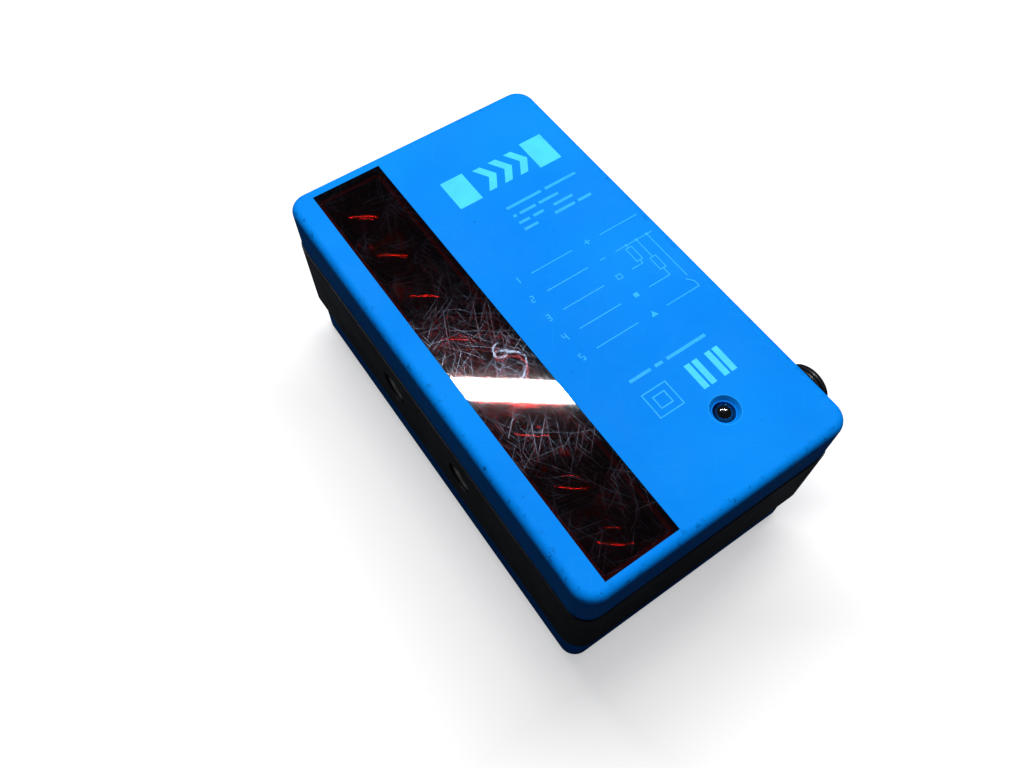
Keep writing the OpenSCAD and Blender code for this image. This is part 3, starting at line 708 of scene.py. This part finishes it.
INSERT_Y = (INSERT_HIGH.y + INSERT_LOW.y) / 2
INSERT_Z = (INSERT_HIGH.z + INSERT_LOW.z) / 2
INSERT_R = (INSERT_HIGH.z - INSERT_LOW.z) / 2
INSERT_HALF_PITCH = (INSERT_HIGH.y - INSERT_LOW.y) / 2 - INSERT_R
INSERT_ROOT_R, INSERT_CORE_R = 2.5, 2.1
INSERT_THREAD_PITCH = 0.8
# The closed end, and the plain bore between it and the thread
INSERT_FLOOR = 0.8
INSERT_RUN_OUT = 0.4
# The groove round the outside, measured from the open end
WAIST_START, WAIST_END, WAIST_DEPTH = 2.4, 3.8, 0.3


def add_inserts(material):
    """Both inserts, each with an M5 x 0.8 thread inside and a groove round the outside."""
    start, back = INSERT_LOW.x, INSERT_HIGH.x
    floor = back - INSERT_FLOOR
    end = floor - INSERT_RUN_OUT
    wide, narrow = INSERT_ROOT_R, INSERT_CORE_R
    shape = ((0.0, wide), (0.1, wide), (0.44, narrow), (0.66, narrow))
    waist = INSERT_R - WAIST_DEPTH
    inner = [(floor, 0.0), (floor, narrow), (end, narrow)]
    outer = [(start, wide), (start, INSERT_R - BEVEL), (start + BEVEL, INSERT_R),
             (start + WAIST_START, INSERT_R), (start + WAIST_START + BEVEL, waist),
             (start + WAIST_END - BEVEL, waist), (start + WAIST_END, INSERT_R),
             (back - BEVEL, INSERT_R), (back, INSERT_R - BEVEL), (back, 0.0)]
    helix = thread_rows(start, end, INSERT_THREAD_PITCH, shape,
                        lambda x, r: min(max(r, wide - (x - start)), narrow + end - x))
    vertices, faces = [], []
    for y in (INSERT_Y - INSERT_HALF_PITCH, INSERT_Y + INSERT_HALF_PITCH):
        add_threaded(vertices, faces, ring_rows(inner), helix, ring_rows(outer), len(shape),
                     y, INSERT_Z)
    piece = add_mesh("threaded_inserts_m5", vertices, faces, material,
                     "housing", 30)
    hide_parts("threaded_inserts")


# ---------------------------------------------------------------- status light

GUIDE_R = 2.45
# Lower and upper face of the flange under the cover
GUIDE_FLANGE = (46.3, 47.3)
DOME_STEPS = 24


def add_light_guide(material):
    """The status light's guide, turned about Z: a post, a flange and a round dome."""
    flange_r = (GUIDE_HIGH.x - GUIDE_LOW.x) / 2
    low, high = GUIDE_FLANGE
    profile = [(GUIDE_LOW.z, 0.0), (GUIDE_LOW.z, GUIDE_R), (low, GUIDE_R), (low, flange_r),
               (high, flange_r), (high, GUIDE_R)]
    for i in range(DOME_STEPS + 1):
        angle = math.pi / 2 * i / DOME_STEPS
        height = GUIDE_HIGH.z - GUIDE_R + GUIDE_R * math.sin(angle)
        profile.append((height, GUIDE_R * math.cos(angle)))
    rows = ring_rows(profile)
    vertices = [(GUIDE_X + x, GUIDE_Y + y, z) for row in rows for z, x, y in row]
    faces = ring_faces(0, len(rows))
    piece = add_mesh("light_guide_dome", vertices, faces, material, "housing")
    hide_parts("light_guide")


# ---------------------------------------------------------------- print on the cover

INK_T = 0.02
# Width of the fine lines
FINE = 0.26
MITRE_LEAST = 0.3
DOT_SIDES = 20


def stroke(points):
    """Outline of a fine line through points, with mitred bends."""
    points = [Vector(p) for p in points]
    left, right = [], []
    for i, point in enumerate(points):
        before = (point - points[i - 1]).normalized() if i else None
        after = (points[i + 1] - point).normalized() if i + 1 < len(points) else None
        way = ((before or after) + (after or before)).normalized()
        across = Vector((-way.y, way.x))
        square = Vector((-(after or before).y, (after or before).x))
        reach = FINE / 2 / max(MITRE_LEAST, across.dot(square))
        left.append(point + across * reach)
        right.append(point - across * reach)
    return left + right[::-1]


def bar(x0, x1, y0, y1):
    """Outline of a rectangle."""
    return [(x0, y0), (x1, y0), (x1, y1), (x0, y1)]


def dot(x, y, radius):
    """Outline of a filled circle."""
    return [(x + radius * math.cos(a), y + radius * math.sin(a))
            for a in (2 * math.pi * i / DOT_SIDES for i in range(DOT_SIDES))]


def hollow_box(x0, x1, y0, y1, width=FINE):
    """Four strokes round a rectangle, which meet at their ends."""
    return [bar(x0, x1, y0, y0 + width), bar(x0, x1, y1 - width, y1),
            bar(x0, x0 + width, y0 + width, y1 - width),
            bar(x1 - width, x1, y0 + width, y1 - width)]


# The bars of each digit, by the usual letters of a seven-bar display
DIGIT_BARS = {1: "bc", 2: "abged", 3: "abgcd", 4: "fgbc", 5: "afgcd"}
DIGIT_X, DIGIT_H, DIGIT_W = -2.55, 1.9, 1.1


def digit(number, x, y):
    """A pin number from 1 to 5 out of straight bars, as on a simple counter."""
    half_w, half_h, pen = DIGIT_W / 2, DIGIT_H / 2, FINE
    low, mid, high = y - half_h, y, y + half_h
    left, right = x - half_w, x + half_w
    places = {
        "a": bar(left + pen, right - pen, high - pen, high),
        "g": bar(left + pen, right - pen, mid - pen / 2, mid + pen / 2),
        "d": bar(left + pen, right - pen, low, low + pen),
        "b": bar(right - pen, right, mid, high), "c": bar(right - pen, right, low, mid),
        "f": bar(left, left + pen, mid, high), "e": bar(left, left + pen, low, mid),
    }
    return [places[key] for key in DIGIT_BARS[number]]


# The wiring diagram: its five rows, and where their lines start and end left of the marks
ROW_Y = (8.6, 2.6, -3.5, -9.6, -15.7)
WIRE_START, WIRE_END = 1.4, 13.0
# The marks in the middle, each measured from its own centre
MARK_X = 17.27
PLUS_REACH, HOLLOW_REACH, SOLID_REACH = 0.8, 0.75, 0.6
WEDGE_REACH, WEDGE_DROP = 0.85, 0.75
# The lines right of the marks, with three columns that hang from the second row
RIGHT_START = 21.0
TOP_ROW_END, SECOND_ROW_END = 32.05, 31.7
COLUMN_X = (24.15, 27.15, 30.25)
JOINT_R = 0.4
LOAD_HALF_W = 0.95
LOAD_SPANS = ((-2.55, 1.9), (-7.35, -3.25))
SWITCH_TOP = -12.0
SWITCH_TIP, SWITCH_FOOT = (29.3, -12.5), (30.6, -14.1)


def row_marks():
    """A plus, a minus, an open square, a filled square and a triangle, one at each row's end."""
    plus, minus, hollow, solid, wedge = ROW_Y
    pen = FINE / 2
    shapes = [stroke([(MARK_X - PLUS_REACH, plus), (MARK_X + PLUS_REACH, plus)]),
              bar(MARK_X - pen, MARK_X + pen, plus + pen, plus + PLUS_REACH),
              bar(MARK_X - pen, MARK_X + pen, plus - PLUS_REACH, plus - pen),
              stroke([(MARK_X - PLUS_REACH, minus), (MARK_X + PLUS_REACH, minus)])]
    shapes += hollow_box(MARK_X - HOLLOW_REACH, MARK_X + HOLLOW_REACH,
                         hollow - HOLLOW_REACH, hollow + HOLLOW_REACH)
    shapes.append(bar(MARK_X - SOLID_REACH, MARK_X + SOLID_REACH,
                      solid - SOLID_REACH, solid + SOLID_REACH))
    shapes.append([(MARK_X - WEDGE_REACH, wedge - WEDGE_DROP),
                   (MARK_X + WEDGE_REACH, wedge - WEDGE_DROP), (MARK_X, wedge + WEDGE_REACH)])
    return shapes


def wiring_marks():
    """The wiring diagram: five numbered pins, their leads, two loads and a test switch."""
    shapes = []
    for i, y in enumerate(ROW_Y):
        shapes += digit(i + 1, DIGIT_X, y)
        shapes.append(stroke([(WIRE_START, y), (WIRE_END, y)]))
    shapes += row_marks()

    top, second, third, fourth, fifth = ROW_Y
    shapes.append(stroke([(RIGHT_START, top), (TOP_ROW_END, top)]))
    starts = [RIGHT_START] + [x + JOINT_R for x in COLUMN_X]
    ends = [x - JOINT_R for x in COLUMN_X] + [SECOND_ROW_END]
    shapes += [stroke([(start, second), (end, second)]) for start, end in zip(starts, ends)]
    shapes += [dot(x, second, JOINT_R) for x in COLUMN_X]
    for x, (low, high), row in zip(COLUMN_X, LOAD_SPANS, (third, fourth)):
        shapes.append(stroke([(x, second - JOINT_R), (x, high)]))
        shapes += hollow_box(x - LOAD_HALF_W, x + LOAD_HALF_W, low, high)
        shapes.append(stroke([(x, low), (x, row), (RIGHT_START, row)]))
    shapes.append(stroke([(COLUMN_X[2], second - JOINT_R), (COLUMN_X[2], SWITCH_TOP)]))
    shapes.append(stroke([SWITCH_TIP, SWITCH_FOOT, (SWITCH_FOOT[0], fifth), (RIGHT_START, fifth)]))
    return shapes


# Plain bars in place of lines of lettering: first and last X, and the height in Y
WORD_BARS = ((7.58, 17.6, 27.4), (18.8, 27.95, 27.4), (7.58, 8.5, 24.55), (9.4, 14.0, 24.55),
             (15.0, 20.7, 24.55), (7.58, 10.6, 22.1), (11.6, 14.6, 22.1), (17.6, 23.15, 22.1),
             (7.58, 11.4, 19.85), (16.4, 22.2, 19.85), (23.2, 27.1, 19.85),
             (1.9, 7.6, -26.4), (8.8, 10.9, -26.4), (12.1, 22.9, -26.4))
WORD_BAR_H = 0.8
# The row of two blocks and three arrows, and the four upright bars below
BLOCK_Y = (33.5, 42.9)
BLOCK_X = ((-1.4, 4.9), (22.0, 28.3))
ARROW_X = (7.4, 12.0, 16.6)
ARROW_W, ARROW_NOTCH, ARROW_BAR, ARROW_INSET = 4.6, 2.4, 2.2, 0.8
BADGE_X = (13.8, 15.9, 19.5, 21.6)
BADGE_W = 1.5
BADGE_Y = (-36.7, -29.9)
# The double square beside the status light: its middle, and half the side of each square
SQUARE_AT = (5.05, -33.55)
SQUARE_HALVES = (3.31, 1.66)
SQUARE_PEN = FINE * 1.15


def word_marks():
    """Bars for the lines of lettering, and the double square beside the status light."""
    shapes = [bar(x0, x1, y - WORD_BAR_H / 2, y + WORD_BAR_H / 2) for x0, x1, y in WORD_BARS]
    for half in SQUARE_HALVES:
        x, y = SQUARE_AT
        shapes += hollow_box(x - half, x + half, y - half, y + half, SQUARE_PEN)
    return shapes


def block_marks():
    """Two blocks with three arrows between them, and four bars lower down."""
    low, high = BLOCK_Y
    middle = (low + high) / 2
    shapes = [bar(x0, x1, low, high) for x0, x1 in BLOCK_X]
    foot, head = low + ARROW_INSET, high - ARROW_INSET
    for x in ARROW_X:
        shapes.append([(x, foot), (x + ARROW_BAR, foot), (x + ARROW_W, middle),
                       (x + ARROW_BAR, head), (x, head), (x + ARROW_NOTCH, middle)])
    shapes += [bar(x, x + BADGE_W, *BADGE_Y) for x in BADGE_X]
    return shapes


def add_print(name, shapes, material):
    """Ink laid on the cover: each outline becomes a thin prism that starts just inside it."""
    low, high = TOP_Z - INK_T / 2, TOP_Z + INK_T
    vertices, faces = [], []
    for shape in shapes:
        first, count = len(vertices), len(shape)
        vertices += [(p[0], p[1], high) for p in shape] + [(p[0], p[1], low) for p in shape]
        faces.append([first + i for i in range(count)])
        faces.append([first + count + i for i in reversed(range(count))])
        for i in range(count):
            n = (i + 1) % count
            faces.append([first + i, first + count + i, first + count + n, first + n])
    add_mesh(name, vertices, faces, material, "housing")


if __name__ == "__main__":
    add_camera()
    add_light()
    add_stage()

    blue = cover_paint("cover_blue", COVER_LOW, COVER_HIGH)
    black = black_paint("body_black", (0.014, 0.014, 0.016), 0.3, 0.03, 0.5)
    seal = soft_paint("seal_black", (0.02, 0.02, 0.02), 0.3)
    foam = soft_paint("foam_grey", (0.011, 0.01, 0.011), 0.35)
    dress(["front_cover"], blue)
    dress(["rear_cover"], cover_paint("rear_blue", *corners("rear_cover")))
    dress(["middle_body"], black)
    dress(["optics_carrier"],
          black_paint("carrier_black", (0.01, 0.01, 0.011), 0.25, 0.01, 0.45, 0.1))
    dress(["cover_seal", "rear_seal", "plug_o_ring"], seal)
    dress(["window_seal"], foam)
    dress(["front_window"], window_paint())
    dress(["lens_strip"], glass_paint("lens_clear", (0.97, 0.98, 1.0), 0.035))
    add_light_guide(glass_paint("guide_clear", (0.86, 0.93, 1.0), 0.1, 0.003, 1.0))
    dress(["polarising_film"], film_paint())
    dress(["optics_board", "main_board"], board_paint())
    plug_black = black_paint("plug_black", (0.016, 0.016, 0.018), 0.35, 0.01, 0.36, 0.2)
    dress(["plug_contact_carrier"], plug_black)
    add_plug_shell(plug_black)
    dress(["plug_contact_pins"], metal_paint("contact_gold", (0.95, 0.68, 0.25), 0.22, "X"))
    add_inserts(metal_paint("insert_brass", (0.83, 0.77, 0.66), 0.3, "X"))
    dress(["housing_screws", "carrier_screws", "main_board_screws", "plug_retaining_ring"],
          metal_paint("screw_steel", (0.62, 0.62, 0.64), 0.3, "Z", (0.2, 0.19, 0.17)))
    dress(["board_link_header", "board_link_socket", "processor_chip", "output_transistors",
           "choke_coil"], moulded_paint("chip_black", (0.03, 0.03, 0.032), 0.45))
    dress(["smoothing_capacitors"], metal_paint("capacitor_can", (0.72, 0.74, 0.78), 0.3, "Z",
                                                (0.4, 0.42, 0.45)))
    dress(["emitter_leds"], moulded_paint("led_red", (0.11, 0.006, 0.006), 0.4, 0.2, 0.1))
    dress(["receiver_photodiodes"], moulded_paint("diode_dark", (0.03, 0.02, 0.03), 0.4))
    dress(["status_led"], moulded_paint("led_yellow", (0.85, 0.55, 0.06), 0.2, 0.2, 0.3))
    dress(["plug_lead"], moulded_paint("lead_grey", (0.05, 0.05, 0.055), 0.5))
    dress(["plug_lead_socket"], moulded_paint("connector_ivory", (0.78, 0.74, 0.62), 0.42))

    add_print("print_symbols", block_marks(), ink_paint("ink_bold", (0.052, 0.58, 0.84), 0.35))
    fine_ink = ink_paint("ink_fine", (0.016, 0.38, 0.84), 0.55)
    add_print("print_word_bars", word_marks(), fine_ink)
    add_print("print_wiring", wiring_marks(), fine_ink)

    bpy.context.scene.view_settings.view_transform = "Standard"
